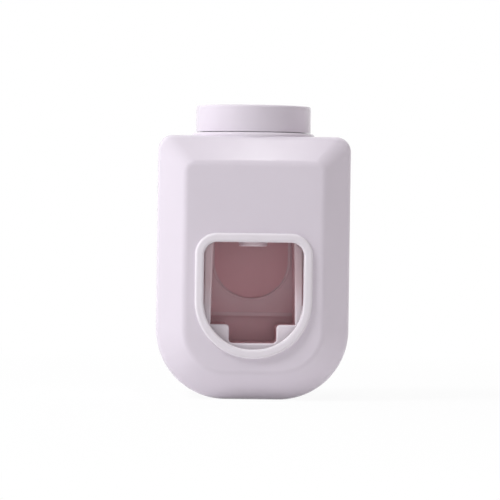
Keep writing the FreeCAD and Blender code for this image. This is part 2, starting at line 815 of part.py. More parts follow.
# Tube socket in the neck, and the seal in its floor
tube_socket = new_body("tube_socket", y="neck_y")
turned(tube_socket, [
    ("spigot_bore", "spigot_bottom"),
    ("spigot_radius", "spigot_bottom"),
    ("spigot_radius", "socket_bottom"),
    ("tube_radius + socket_wall", "socket_bottom"),
    ("tube_radius + socket_wall", "neck_top"),
    ("neck_radius", "neck_top"),
    ("neck_radius", "socket_top"),
    ("tube_radius", "socket_top"),
    ("tube_radius", "tube_floor"),
    ("seal_radius + fit_gap", "tube_floor"),
    ("seal_radius + fit_gap", "seal_floor"),
    ("spigot_bore", "seal_floor"),
])
tube_seal = new_body("tube_seal", y="neck_y")
turned(tube_seal, [
    ("seal_bore", "seal_floor"),
    ("seal_radius", "seal_floor"),
    ("seal_radius", "tube_floor"),
    ("seal_bore + seal_bevel", "tube_floor"),
    ("seal_bore", "tube_floor - seal_bevel"),
])

# Dust cap that lifts off the neck, and its liner
dust_cap = new_body("dust_cap", y="neck_y")
cap_turned = turned(dust_cap, [
    ("cap_bore", "cap_bottom"),
    ("cap_radius", "cap_bottom"),
    ("cap_radius", "cap_top"),
    ("0", "cap_top"),
    ("0", "cap_top - cap_wall"),
    ("cap_bore", "cap_top - cap_wall"),
])
rounded(dust_cap, cap_turned, lies_at("z", "cap_top"), "cap_blend")
cap_roof = "cap_top - cap_wall"
cap_liner = rod("cap_liner", "z", "cap_bore - press_gap", "socket_top", cap_roof, x="0", y="neck_y")

# Pump body: a chamber along the depth, with an outlet below, an inlet ring above and a flange behind
pump_rear = "frame_y + cut_overrun"
bellows_seat_radius = "bellows_flange_radius + fit_gap"
pump_body = cut(
    "pump_body",
    fuse(
        "pump_blank",
        rod("pump_tube", "y", "pump_radius", "pump_front", "frame_y", x="0", z="pump_z"),
        box(
            "pump_flange_block", ("-cheek_x", "cheek_x"), ("frame_y - pump_flange", "frame_y"),
            ("pump_z - bellows_flange_radius - pump_flange_land", "frame_top"),
        ),
        rod("outlet_boss", "z", "outlet_radius", "outlet_bottom", "pump_z", x="0", y="nozzle_y"),
        rod("inlet_ring", "z", "inlet_ring_radius", "pump_z", "duct_bottom", x="0", y="nozzle_y"),
    ),
    rod("pump_chamber", "y", "pump_bore", "pump_front + pump_wall", pump_rear, x="0", z="pump_z"),
    rod("bellows_seat", "y", bellows_seat_radius, "frame_y - bellows_flange", pump_rear, x="0", z="pump_z"),
    rod("outlet_way", "z", "outlet_bore", "outlet_bottom - cut_overrun", "pump_z", x="0", y="nozzle_y"),
    rod("inlet_way", "z", "inlet_ring_bore", "pump_z", "duct_bottom + cut_overrun", x="0", y="nozzle_y"),
    *rods("pump_pilot", "screw_bore", *through("frame_y - pump_flange", "frame_y"), PUMP_SCREWS),
)
pump_screws = screws("pump_screws", PUMP_SCREWS, "frame_back", "frame_wall + pump_flange - screw_cover")

# Inlet duct between the socket's spigot and the pump, with an umbrella valve in its floor
duct_ends = ("nozzle_y - duct_half_width", "neck_y + duct_half_width")
flow_angles = [f"{i} * 360 / flow_holes" for i in range(COUNTS["flow_holes"])]
inlet_duct = cut(
    "inlet_duct",
    box("duct_block", ("-duct_half_width", "duct_half_width"), duct_ends, ("duct_bottom", "duct_top")),
    box(
        "duct_hollow", ("duct_wall - duct_half_width", "duct_half_width - duct_wall"),
        (f"{duct_ends[0]} + duct_wall", f"{duct_ends[1]} - duct_wall"),
        ("duct_bottom + duct_wall", "duct_top - duct_wall"),
    ),
    rod(
        "duct_roof_hole", "z", "spigot_radius + press_gap", "duct_top - duct_wall - cut_overrun",
        "duct_top + cut_overrun", x="0", y="neck_y",
    ),
    rod(
        "duct_stem_hole", "z", "flap_stem + press_gap", "duct_bottom - cut_overrun",
        "duct_bottom + duct_wall + cut_overrun", x="0", y="nozzle_y",
    ),
    *[
        rod(
            f"duct_flow_hole_{i}", "z", "flow_hole_radius", "duct_bottom - cut_overrun",
            "duct_bottom + duct_wall + cut_overrun",
            x=f"flow_hole_circle * cos({angle})", y=f"nozzle_y + flow_hole_circle * sin({angle})",
        )
        for i, angle in enumerate(flow_angles)
    ],
)
inlet_valve = new_body("inlet_valve", y="nozzle_y")
turned(inlet_valve, [
    ("0", "duct_bottom - flap_thickness"),
    ("flap_radius", "duct_bottom - flap_thickness / 2"),
    ("flap_radius", "duct_bottom"),
    ("flap_stem", "duct_bottom"),
    ("flap_stem", "duct_bottom + duct_wall"),
    ("flap_bulb", "duct_bottom + duct_wall"),
    ("flap_stem", "duct_bottom + duct_wall + flap_bulb_height"),
    ("0", "duct_bottom + duct_wall + flap_bulb_height"),
])

# Slit valve under the outlet, and the nozzle that holds it
outlet_valve = cut(
    "outlet_valve",
    fuse(
        "bill_blank",
        rod("bill_disc", "z", "outlet_radius", "nozzle_shoulder", "outlet_bottom", x="0", y="nozzle_y"),
        cone("bill_outside", "bill_tip", "bill_radius", "bill_bottom", "nozzle_shoulder", y="nozzle_y"),
    ),
    cone(
        "bill_inside", "bill_slit", "bill_radius - bill_wall", "bill_bottom + bill_wall", "nozzle_shoulder",
        y="nozzle_y",
    ),
    rod(
        "bill_way", "z", "bill_radius - bill_wall", "nozzle_shoulder", "outlet_bottom + cut_overrun",
        x="0", y="nozzle_y",
    ),
    box(
        "bill_slit_cut", ("-bill_tip / 2", "bill_tip / 2"),
        ("nozzle_y - bill_slit / 2", "nozzle_y + bill_slit / 2"),
        ("bill_bottom - cut_overrun", "bill_bottom + bill_wall + bill_slit"),
    ),
)
nozzle = new_body("nozzle", y="nozzle_y")
nozzle_turned = turned(nozzle, [
    ("nozzle_bore", "nozzle_tip"),
    ("nozzle_radius", "nozzle_tip"),
    ("nozzle_radius", "nozzle_top"),
    ("outlet_radius + press_gap", "nozzle_top"),
    ("outlet_radius + press_gap", "nozzle_shoulder"),
    ("nozzle_bore", "nozzle_shoulder"),
])


def nozzle_rim(edge):
    return lies_at("z", "nozzle_tip")(edge) and edge.BoundBox.XMax > value("nozzle_bore") + TOLERANCE


rounded(nozzle, nozzle_turned, nozzle_rim, "nozzle_blend")

# Bellows: a folded rubber pump end, closed behind and clamped by its flange
bellows = new_body("bellows", z="pump_z")
folds = COUNTS["bellows_folds"]


def fold_y(half_folds):
    return f"frame_y + bellows_length * {half_folds} / (2 * bellows_folds)"


zigzag = ["bellows_radius" if i % 2 else "bellows_root" for i in range(2 * folds)]
outer_folds = [(radius, fold_y(i)) for i, radius in enumerate(zigzag)]
inner_folds = [(radius + " - bellows_wall", at) for radius, at in outer_folds[1:]]
turned(
    bellows,
    [
        ("0", "bellows_end - bellows_wall"),
        ("0", "bellows_end"),
        ("bellows_root", "bellows_end"),
        *reversed(outer_folds),
        ("bellows_flange_radius", "frame_y"),
        ("bellows_flange_radius", "frame_y - bellows_flange"),
        ("bellows_root - bellows_wall", "frame_y - bellows_flange"),
        *inner_folds,
        ("bellows_root - bellows_wall", "bellows_end - bellows_wall"),
    ],
    axis="y",
)

# Frame: a wall that clamps the bellows, two cheeks that carry the hinge pin, and four feet on the cover
frame_sides = ("-frame_half_width", "frame_half_width")
frame_heights = ("frame_bottom", "frame_top")
pin_line = {"y": "pivot_y", "z": "pivot_z"}
cheeks = [
    box("cheek_right", ("cheek_x", "frame_half_width"), ("frame_y", "cover_y"), frame_heights),
    box("cheek_left", ("-frame_half_width", "-cheek_x"), ("frame_y", "cover_y"), frame_heights),
]
feet = rods("foot", "foot_radius", "cover_y - foot_length", "cover_y", FEET)
frame_front_ends = through("frame_y", "frame_back")
pump_frame = cut(
    "pump_frame",
    fuse(
        "frame_blank",
        box("frame_front", frame_sides, ("frame_y", "frame_back"), frame_heights),
        *cheeks,
        *feet,
    ),
    rod("bellows_hole", "y", "bellows_radius + move_gap", *frame_front_ends, x="0", z="pump_z"),
    rod("frame_pin_hole", "x", "pin_radius + press_gap", *through(*frame_sides), **pin_line),
    rod("hub_room", "x", "hub_radius + move_gap", "-cheek_x", "cheek_x", **pin_line),
    rod("pin_cap_room", "x", "pin_head_radius + move_gap", "-foot_outside", "-frame_half_width", **pin_line),
    rod("clip_room", "x", "clip_radius + move_gap", "frame_half_width", "foot_outside", **pin_line),
    *rods("frame_pump_hole", "screw_radius + fit_gap", *frame_front_ends, PUMP_SCREWS),
    *rods("foot_pilot", "screw_bore", "cover_y - screw_length", "cover_y + cut_overrun", FEET),
)
cover_screw_y = "rear_y - screw_recess"
frame_screws = screws("frame_screws", FEET, cover_screw_y, "screw_length")

# Hinge pin across the cheeks, held by a spring clip in a groove
clip_outside = "frame_half_width + clip_thickness"
groove_radius = "pin_radius - clip_groove"
hinge_pin = fuse(
    "hinge_pin",
    rod("pin_cap", "x", "pin_head_radius", "-frame_half_width - pin_head", "-frame_half_width", **pin_line),
    rod("pin_shaft", "x", "pin_radius", *frame_sides, **pin_line),
    rod("pin_groove", "x", groove_radius, "frame_half_width", clip_outside, **pin_line),
    rod("pin_tail", "x", "pin_radius", clip_outside, f"{clip_outside} + clip_tail", **pin_line),
)
clip_ends = through("frame_half_width", clip_outside)
pin_clip = cut(
    "pin_clip",
    rod("clip_disc", "x", "clip_radius", "frame_half_width", clip_outside, **pin_line),
    rod("clip_bore", "x", f"{groove_radius} + press_gap", *clip_ends, **pin_line),
    box(
        "clip_slot", clip_ends, ("pivot_y - pin_radius / 2", "pivot_y + pin_radius / 2"),
        ("pivot_z - clip_radius - cut_overrun", "pivot_z"),
    ),
)

# Push lever: a spine below the hub for the push plate, and an arm above it that presses the bellows
arm_top = "pump_z + pad_radius + arm_land"
spine_x = ("-spine_half_width", "spine_half_width")
hub_ends = through("-hub_x", "hub_x")
bush_seat = "bush_radius + press_gap"
push_lever = cut(
    "push_lever",
    fuse(
        "lever_blank",
        box("lever_spine", spine_x, ("spine_y", "arm_back"), ("plate_bottom + spine_rise", "pivot_z")),
        box("lever_arm", spine_x, ("arm_y", "arm_back"), ("pivot_z", arm_top)),
        rod("lever_hub", "x", "hub_radius", "-hub_x", "hub_x", **pin_line),
    ),
    rod("hub_bore", "x", "pin_radius + move_gap", *hub_ends, **pin_line),
    rod("hub_bush_right", "x", bush_seat, "hub_x - bush_length", hub_ends[1], **pin_line),
    rod("hub_bush_left", "x", bush_seat, hub_ends[0], "bush_length - hub_x", **pin_line),
    rod(
        "pad_hole", "y", "pad_spigot_radius + press_gap", "arm_y - cut_overrun",
        "arm_y + pad_spigot + press_gap", x="0", z="pump_z",
    ),
    rod(
        "spring_seat", "y", "spring_radius + spring_wire + fit_gap", "arm_back - spring_seat_depth",
        "arm_back + cut_overrun", x="0", z="spring_z",
    ),
    *rods("spine_screw_hole", "screw_radius + fit_gap", *through("spine_y", "arm_back"), PLATE_SCREWS),
)


def bush(name, sleeve_ends, flange_ends):
    """A flanged bearing bush on the pin's line."""
    sleeve_part = rod(name + "_sleeve", "x", "bush_radius", *sleeve_ends, **pin_line)
    flange_part = rod(name + "_flange", "x", "bush_flange_radius", *flange_ends, **pin_line)
    bore_part = rod(name + "_bore", "x", "pin_radius + run_gap", "-cheek_x", "cheek_x", **pin_line)
    return cut(name, fuse(name + "_blank", sleeve_part, flange_part), bore_part)


lever_bushes = group(
    "lever_bushes",
    [
        bush("bush_right", ("hub_x - bush_length", "hub_x"), ("hub_x", "hub_x + bush_flange")),
        bush("bush_left", ("-hub_x", "bush_length - hub_x"), ("-hub_x - bush_flange", "-hub_x")),
    ],
)
press_pad = fuse(
    "press_pad",
    rod("pad_disc", "y", "pad_radius", "bellows_end + run_gap", "arm_y", x="0", z="pump_z"),
    rod("pad_stem", "y", "pad_spigot_radius", "arm_y", "arm_y + pad_spigot", x="0", z="pump_z"),
)

# Push plate that the brush presses: a rimmed, round-bottomed recess, a lip, and a skirt set back below it
push_plate = new_body("push_plate")
plate_outline = shield(
    front_sketch(push_plate, "plate_outline", "plate_y"),
    "plate_x", "plate_bottom", "plate_top", "plate_corner", "plate_corner",
)
slab(push_plate, plate_outline, "plate_y", "spine_y")
skirt_y = "plate_y + skirt_setback"
skirt = shield(
    front_sketch(push_plate, "plate_skirt", skirt_y),
    "plate_x", "plate_bottom - skirt_drop", "plate_bottom + 2 * plate_corner", "plate_corner", "plate_corner",
)
slab(push_plate, skirt, skirt_y, "spine_y")
rim_y = "plate_y - rim_proud"
recess_low = "plate_bottom + recess_rise"
recess_radius = "recess_width / 2 - recess_edge"
rim = shield(
    front_sketch(push_plate, "recess_rim", rim_y),
    "recess_width / 2 + rim_width", f"{recess_low} - rim_width", "plate_top",
    f"{recess_radius} + rim_width", "recess_edge",
)
slab(push_plate, rim, rim_y, "plate_y + recess_depth")
recess = shield(
    front_sketch(push_plate, "plate_recess", f"{rim_y} - cut_overrun"),
    "recess_width / 2", recess_low, "plate_top + recess_width", recess_radius, "recess_edge",
)
rimmed = opening(push_plate, recess, f"{rim_y} - cut_overrun", "plate_y + recess_depth")
rounded(push_plate, rimmed, lies_at("y", rim_y), "rim_blend")
lip_y = "plate_y - lip_proud"
lip = rectangle(
    front_sketch(push_plate, "plate_lip", lip_y),
    ("-lip_width / 2", "lip_width / 2"), ("plate_bottom", "plate_bottom + lip_height"),
)
slab(push_plate, lip, lip_y, "plate_y + recess_depth")
pilots = circles(push_plate, "plate_pilots", "spine_y + cut_overrun", PLATE_SCREWS, "screw_bore")
pilot_depth = "plate_thickness - screw_cover + press_gap"
extrude(push_plate, "Pocket", pilots, f"{pilot_depth} + cut_overrun", reverse=True)
plate_screw_length = "spine_thickness + plate_thickness - screw_cover"
plate_screws = screws("plate_screws", PLATE_SCREWS, "arm_back", plate_screw_length)

# Return spring between the lever's seat and the cover
spring_start = "arm_back - spring_seat_depth + spring_wire"
spring_helix = doc.addObject("Part::Helix", "spring_helix")
spring_helix.Placement = Placement(Vector(), TURNS["y"])
tie(
    spring_helix,
    Height=f"cover_y - spring_wire - ({spring_start})",
    Pitch=f"(cover_y - spring_wire - ({spring_start})) / spring_turns",
    Radius="spring_radius",
    Placement__Base__y=spring_start,
    Placement__Base__z="spring_z",
)
spring_section = doc.addObject("Part::Circle", "spring_section")
tie(
    spring_section,
    Radius="spring_wire",
    Placement__Base__x="spring_radius",
    Placement__Base__y=spring_start,
    Placement__Base__z="spring_z",
)
doc.recompute()
return_spring = doc.addObject("Part::Sweep", "return_spring")
return_spring.Sections = [spring_section]
return_spring.Spine = (spring_helix, [f"Edge{i}" for i in range(1, len(spring_helix.Shape.Edges) + 1)])
return_spring.Solid = True
return_spring.Frenet = True

# Back cover inside the shell's rim, with counterbored screw holes, hook slots and a spring post
back_cover = new_body("back_cover")
cover_outline = shield(
    front_sketch(back_cover, "cover_outline", "cover_y"),
    "shell_width / 2 - cover_inset", "cover_inset", "shell_height - cover_inset",
    "shell_bottom_radius - cover_inset", "shell_top_radius - cover_inset",
)
slab(back_cover, cover_outline, "cover_y", "rear_y")
cover_ends = through("cover_y", "rear_y")
held_at = COVER_BOSSES + FEET
cover_holes = circles(back_cover, "cover_holes", cover_ends[0], held_at, "screw_radius + fit_gap")
opening(back_cover, cover_holes, *cover_ends)
head_holes = circles(back_cover, "head_holes", cover_screw_y, held_at, "screw_head_radius + fit_gap")
opening(back_cover, head_holes, cover_screw_y, cover_ends[1])
neck_low = "hook_z - hook_neck / 2"
neck_high = "hook_z + hook_neck / 2"


def hook_rectangles(body, name, y, spread, low, high):
    """A rectangle for each hook, its width spread by an expression."""
    sketch = front_sketch(body, name, y)
    half = f"hook_width / 2 + {spread}"
    for side in SIDES:
        middle = f"{side}hook_spacing / 2"
        rectangle(sketch, (f"{middle} - ({half})", f"{middle} + {half}"), (low, high))
    return sketch


slots = hook_rectangles(
    back_cover, "hook_slots", cover_ends[0], "move_gap",
    f"{neck_low} - hook_travel - fit_gap", f"{neck_high} + run_gap",
)
opening(back_cover, slots, *cover_ends)
post_root = "cover_y + cover_thickness / 2"
spring_post = circle(
    front_sketch(back_cover, "spring_post", post_root), "0", "spring_z", "spring_post_radius"
)
extrude(back_cover, "Pad", spring_post, f"{post_root} - cover_y + spring_post_length")
cover_screws = screws("cover_screws", COVER_BOSSES, cover_screw_y, "screw_length")

# Wall plate whose two hooks hold the cover, and the adhesive pad behind it
wall_plate = new_body("wall_plate")
wall_outline = shield(
    front_sketch(wall_plate, "wall_outline", "rear_y"),
    "wall_plate_width / 2", "wall_plate_bottom", "wall_plate_top", "wall_plate_radius", "wall_plate_radius",
)
slab(wall_plate, wall_outline, "rear_y", "plate_rear_y")
hook_front = "cover_y - fit_gap - hook_thickness"
necks = hook_rectangles(wall_plate, "hook_necks", hook_front, "0", neck_low, neck_high)
slab(wall_plate, necks, hook_front, "rear_y + wall_plate_thickness / 2")
lips = hook_rectangles(wall_plate, "hook_lips", hook_front, "0", neck_low, f"{neck_high} + hook_lip")
slab(wall_plate, lips, hook_front, "cover_y - fit_gap")
adhesive_pad = new_body("adhesive_pad")
adhesive_outline = shield(
    front_sketch(adhesive_pad, "adhesive_outline", "plate_rear_y"),
    "wall_plate_width / 2 - adhesive_margin", "wall_plate_bottom + adhesive_margin",
    "wall_plate_top - adhesive_margin",
    "wall_plate_radius - adhesive_margin", "wall_plate_radius - adhesive_margin",
)
slab(adhesive_pad, adhesive_outline, "plate_rear_y", "wall_y")

# Check every object and write each piece to its own file
NODES = (
    front_shell, window_bezel, brush_guide, brush_tunnel, guide_screws, tube_socket, tube_seal, inlet_duct,
    inlet_valve, pump_body, pump_screws, outlet_valve, nozzle, bellows, pump_frame, frame_screws, hinge_pin,
    pin_clip, back_cover, cover_screws, return_spring, push_lever, push_plate, plate_screws, lever_bushes,
    press_pad, dust_cap, cap_liner, wall_plate, adhesive_pad,
)
doc.recompute()
faults = [obj.Name for obj in doc.Objects if "Invalid" in obj.State or "Error" in obj.State]
faults += [node.Name for node in NODES if node.Shape.isNull() or not node.Shape.isValid()]
if faults:
    sys.exit("not sound: " + ", ".join(faults))
os.makedirs("parts", exist_ok=True)
for node in NODES:
    node.Shape.exportStep(f"parts/{node.Label}.step")
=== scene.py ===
"""Toothpaste dispenser: materials, soft pieces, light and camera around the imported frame."""

import math

import bmesh
import bpy
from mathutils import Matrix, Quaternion, Vector


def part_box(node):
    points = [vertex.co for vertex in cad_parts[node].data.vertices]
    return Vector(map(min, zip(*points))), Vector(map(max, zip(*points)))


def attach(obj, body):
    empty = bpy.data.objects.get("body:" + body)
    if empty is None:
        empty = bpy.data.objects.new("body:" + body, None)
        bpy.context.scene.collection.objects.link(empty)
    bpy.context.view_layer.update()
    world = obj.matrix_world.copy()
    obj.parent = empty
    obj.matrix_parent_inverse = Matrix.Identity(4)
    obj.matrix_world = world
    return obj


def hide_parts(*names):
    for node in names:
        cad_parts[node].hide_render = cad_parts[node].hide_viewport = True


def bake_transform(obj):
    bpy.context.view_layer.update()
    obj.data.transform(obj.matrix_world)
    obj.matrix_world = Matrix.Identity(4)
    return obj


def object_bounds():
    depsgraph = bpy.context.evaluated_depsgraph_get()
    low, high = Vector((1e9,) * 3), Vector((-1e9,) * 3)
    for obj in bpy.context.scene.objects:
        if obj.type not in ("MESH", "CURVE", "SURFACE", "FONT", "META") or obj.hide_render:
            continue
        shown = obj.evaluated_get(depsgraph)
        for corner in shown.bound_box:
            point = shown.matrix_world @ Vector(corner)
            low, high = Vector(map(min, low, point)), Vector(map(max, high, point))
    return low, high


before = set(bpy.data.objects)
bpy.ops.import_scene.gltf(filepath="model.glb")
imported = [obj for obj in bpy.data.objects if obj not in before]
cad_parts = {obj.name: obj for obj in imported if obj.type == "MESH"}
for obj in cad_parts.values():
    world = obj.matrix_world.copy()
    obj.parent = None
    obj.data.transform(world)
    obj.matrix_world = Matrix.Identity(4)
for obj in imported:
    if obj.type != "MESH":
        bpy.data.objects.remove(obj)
cad_low, cad_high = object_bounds()

MM = 0.001
TURN = 2 * math.pi

# Sizes and depths of surface detail: plastic, rubber, foam and steel
FLOW_CLOUD = 28 * MM
HANDLING_CLOUD = 9 * MM
PEEL_LUMP = 1.6 * MM
PEEL_GRAIN = 0.25 * MM
PEEL_DEPTH = 0.001 * MM
GRAIN_DIVISOR = 6
BLOOM_CLOUD = 4 * MM
SKIN_CLOUD = 1.2 * MM
SKIN_GRAIN = 0.3 * MM
SKIN_DEPTH = 0.006 * MM
FOAM_CELL = 0.7 * MM
FOAM_CLOUD = 2 * MM
FOAM_PIT = 0.05 * MM
STEEL_LINE = 0.12 * MM
STEEL_CLOUD = 1.5 * MM
STEEL_SCRATCH = 0.003 * MM


# Node trees
class Surface:
    """One procedural material: a Principled shader, and helpers that add nodes before it."""

    def __init__(self, name, **settings):
        self.material = bpy.data.materials.new(name)
        self.material.use_nodes = True
        self.tree = self.material.node_tree
        self.shader = self.tree.nodes["Principled BSDF"]
        self.place = self.tree.nodes.new("ShaderNodeTexCoord").outputs["Object"]
        for socket, setting in settings.items():
            self.shader.inputs[socket.replace("_", " ")].default_value = setting

    def add(self, kind, settings=(), **inputs):
        """A node with its settings, and its sockets set or linked, named with _ for spaces."""
        node = self.tree.nodes.new("ShaderNode" + kind)
        for name, setting in dict(settings).items():
            setattr(node, name, setting)
        for socket, source in inputs.items():
            self.feed(node.inputs[socket.replace("_", " ")], source)
        return node

    def feed(self, socket, source):
        if isinstance(source, bpy.types.NodeSocket):
            self.tree.links.new(source, socket)
        else:
            socket.default_value = source

    def stretched(self, stretch):
        """Object coordinates, multiplied by a vector."""
        node = self.add("VectorMath", {"operation": "MULTIPLY"})
        self.feed(node.inputs[0], self.place)
        self.feed(node.inputs[1], stretch)
        return node.outputs["Vector"]

    def noise(self, size, detail=2.0, roughness=0.5, stretch=None):
        """Noise from 0 to 1 whose lumps are about that size, in metres."""
        place = self.stretched(stretch) if stretch else self.place
        node = self.add("TexNoise", Vector=place, Scale=1 / size, Detail=detail, Roughness=roughness)
        return node.outputs["Fac"]

    def cells(self, size):
        """Distance to the nearest cell centre, for foam and blasted metal."""
        return self.add("TexVoronoi", Vector=self.place, Scale=1 / size).outputs["Distance"]

    def between(self, fac, low, high, start=0.3, stop=0.7):
        """A number from low to high, as fac goes from start to stop."""
        node = self.add("MapRange", {"clamp": True}, Value=fac, From_Min=start, From_Max=stop)
        self.feed(node.inputs["To Min"], low)
        self.feed(node.inputs["To Max"], high)
        return node.outputs["Result"]

    def blend(self, fac, low, high):
        """A colour from low to high."""
        node = self.add("MixRGB", Fac=fac)
        self.feed(node.inputs["Color1"], low)
        self.feed(node.inputs["Color2"], high)
        return node.outputs["Color"]

    def maths(self, operation, first, second):
        """A difference, product or the like of two numbers."""
        node = self.add("Math", {"operation": operation})
        self.feed(node.inputs[0], first)
        self.feed(node.inputs[1], second)
        return node.outputs["Value"]

    def paint(self, colour):
        self.feed(self.shader.inputs["Base Color"], colour)

    def cloud(self, fac, colour, share):
        """Paint with a colour, darkened to a share of itself where fac is low."""
        self.paint(self.blend(fac, shade(colour, share), shade(colour, 1.0)))

    def painted(self):
        """The colour painted so far."""
        return self.shader.inputs["Base Color"].links[0].from_socket

    def dull(self, roughness):
        self.feed(self.shader.inputs["Roughness"], roughness)

    def emboss(self, height, depth, strength=1.0):
        """Bump of that depth, in metres, over any bump already there."""
        node = self.add("Bump", Height=height, Distance=depth, Strength=strength)
        normal = self.shader.inputs["Normal"]
        if normal.is_linked:
            self.feed(node.inputs["Normal"], normal.links[0].from_socket)
        self.feed(normal, node.outputs["Normal"])


def shade(colour, share):
    """A colour with its three channels multiplied by a share."""
    return (*[channel * share for channel in colour], 1.0)


def moulding(name, colour, gloss, peel_depth=PEEL_DEPTH, cloud_share=0.988, **settings):
    """Injection-moulded plastic: faint flow clouds, orange peel and a gloss that varies a little."""
    surface = Surface(name, **settings)
    surface.cloud(surface.between(surface.noise(FLOW_CLOUD, detail=3.0), 0.0, 1.0), colour, cloud_share)
    handled = surface.noise(HANDLING_CLOUD, detail=4.0, roughness=0.6)
    surface.dull(surface.between(handled, *gloss))
    surface.emboss(surface.noise(PEEL_LUMP, detail=1.0), peel_depth)
    surface.emboss(surface.noise(PEEL_GRAIN, detail=2.0), peel_depth / GRAIN_DIVISOR)
    return surface


def moulded(*colour_and_gloss, **settings):
    """The material of a plain moulding."""
    return moulding(*colour_and_gloss, **settings).material


def upper_shade_painted(name, solid, shaded, gloss, **settings):
    """Moulded plastic with painted shade on its upper strips: pinker and darker from a height up, where the
    window's top casts its shadow.
    """
    surface = moulding(name, solid, gloss, **settings)
    height = surface.add("SeparateXYZ", Vector=surface.place).outputs["Z"]
    # painted shade: pinker and darker towards the top
    upper_shade = surface.between(height, 0.0, 1.0, SHADE_START, SHADE_STOP)
    surface.paint(surface.blend(upper_shade, surface.painted(), shade(shaded, 1.0)))
    return surface.material


def recessed(name, floor, lit_edge, foot, lit_lip, gloss, **settings):
    """The push plate's plastic: painted shade makes its round-bottomed recess darker and pinker, a painted
    highlight round the recess's edge fades towards the foot, and a painted highlight band lies on its lip.
    """
    surface = moulding(name, floor, gloss, **settings)
    plate_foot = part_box("push_plate")[0].z
    arc_z = plate_foot + RECESS_RISE + RECESS_RADIUS
    lip_z = plate_foot + LIP_RISE
    split = surface.add("SeparateXYZ", Vector=surface.place)
    height = split.outputs["Z"]
    below = surface.maths("MINIMUM", surface.maths("SUBTRACT", height, arc_z), 0.0)
    spoke = surface.add("CombineXYZ", X=split.outputs["X"], Z=below).outputs["Vector"]
    reach = surface.add("VectorMath", {"operation": "LENGTH"}, Vector=spoke).outputs["Value"]
    # painted highlight round the recess's edge, fading towards the plate's foot
    fade = surface.between(reach, 0.0, 1.0, RECESS_RADIUS, RECESS_RADIUS + HIGHLIGHT_REACH)
    edge_highlight = surface.blend(fade, shade(lit_edge, 1.0), shade(foot, 1.0))
    outside = surface.between(reach, 0.0, 1.0, RECESS_RADIUS - HIGHLIGHT_BLUR, RECESS_RADIUS + HIGHLIGHT_BLUR)
    plate = surface.blend(outside, surface.painted(), edge_highlight)
    # painted highlight band on the lip
    over_foot = surface.between(height, 0.0, 1.0, lip_z - HIGHLIGHT_BLUR, lip_z + HIGHLIGHT_BLUR)
    lip_top = lip_z + LIP_HEIGHT
    under_top = surface.between(height, 1.0, 0.0, lip_top - HIGHLIGHT_BLUR, lip_top + HIGHLIGHT_BLUR)
    on_lip = surface.maths("MULTIPLY", over_foot, under_top)
    surface.paint(surface.blend(on_lip, plate, shade(lit_lip, 1.0)))
    return surface.material


def rubbery(name, colour, gloss, bloom_share=0.92, **settings):
    """Silicone or rubber: soft clouds of bloom and a fine dull skin."""
    surface = Surface(name, **settings)
    bloom = surface.noise(BLOOM_CLOUD, detail=4.0, roughness=0.65)
    surface.cloud(surface.between(bloom, 0.0, 1.0), colour, bloom_share)
    surface.dull(surface.between(surface.noise(SKIN_CLOUD, detail=3.0), *gloss))
    surface.emboss(surface.noise(SKIN_GRAIN, detail=2.0), SKIN_DEPTH)
    return surface.material


def foamed(name, colour, gloss, pit_shade_share=0.9, **settings):
    """Closed-cell foam: small round cells that show as pits, with painted shade darkening their hollows."""
    surface = Surface(name, **settings)
    pits = surface.between(surface.cells(FOAM_CELL), 0.0, 1.0, start=0.15, stop=0.55)
    # painted shade in the pits
    surface.cloud(pits, colour, pit_shade_share)
    surface.dull(surface.between(surface.noise(FOAM_CLOUD, detail=3.0), *gloss))
    surface.emboss(pits, FOAM_PIT, strength=0.5)
    return surface.material


def drawn_steel(name, colour, gloss, stretch, stain_share=0.86):
    """Steel with fine lines along its making direction and a few dull clouds."""
    surface = Surface(name, Metallic=1.0)
    lines = surface.noise(STEEL_LINE, detail=2.0, stretch=stretch)
    surface.cloud(surface.between(surface.noise(STEEL_CLOUD, detail=3.0), 0.0, 1.0), colour, stain_share)
    surface.dull(surface.between(lines, *gloss))
    surface.emboss(lines, STEEL_SCRATCH)
    return surface.material


# Heights between which painted shade fades in on the brush guide's upper strips
SHADE_START = 32.0 * MM
SHADE_STOP = 47.0 * MM

# The push plate's recess: its lowest point above the plate's foot, its radius, and the painted highlight
# round it: the softness of its edges and how far it fades
RECESS_RISE = 19.4 * MM
RECESS_RADIUS = 15.1 * MM
HIGHLIGHT_BLUR = 0.25 * MM
HIGHLIGHT_REACH = 8.0 * MM

# The lip across the push plate: its lower edge above the plate's foot, and its height, which bound a painted
# highlight band
LIP_RISE = 12.0 * MM
LIP_HEIGHT = 1.5 * MM

# Colours are linear, and lie near what each piece shows in plain light, except the guide's shade pink and the
# push plate's recess, edge and lip colours, which hold painted shade and painted highlights
LAVENDER_WHITE = (0.785, 0.72, 0.795)
TRIM_WHITE = (0.88, 0.83, 0.88)
GUIDE_WHITE = (0.92, 0.85, 0.90)
# painted shade: the brush guide's colour where the window's top shades it
GUIDE_SHADE_PINK = (0.74, 0.56, 0.59)
MAUVE = (0.84, 0.55, 0.59)
# painted shade in the push plate's recess, and painted highlights round its edge and on its lip
RECESS_SHADE_MAUVE = (0.88, 0.52, 0.565)
EDGE_HIGHLIGHT_MAUVE = (0.88, 0.67, 0.71)
FOOT_MAUVE = (0.90, 0.645, 0.69)
LIP_HIGHLIGHT_MAUVE = (0.92, 0.73, 0.77)
NOZZLE_PINK = (0.86, 0.72, 0.77)
PUMP_WHITE = (0.76, 0.75, 0.76)
MILKY = (0.66, 0.64, 0.66)
FOAM_WHITE = (0.80, 0.79, 0.78)
ZINC = (0.62, 0.61, 0.60)
GROUND_STEEL = (0.58, 0.58, 0.59)
SPRING_GREY = (0.45, 0.45, 0.47)

# Steel's lines run along the axis with the small number
ALONG_X = (0.06, 1.0, 1.0)
ALONG_Y = (1.0, 0.06, 1.0)

PLASTIC = {"IOR": 1.5}
INSIDE_PLASTIC = {"IOR": 1.5, "peel_depth": 0.004 * MM, "cloud_share": 0.96}
RUBBER = {"IOR": 1.41}

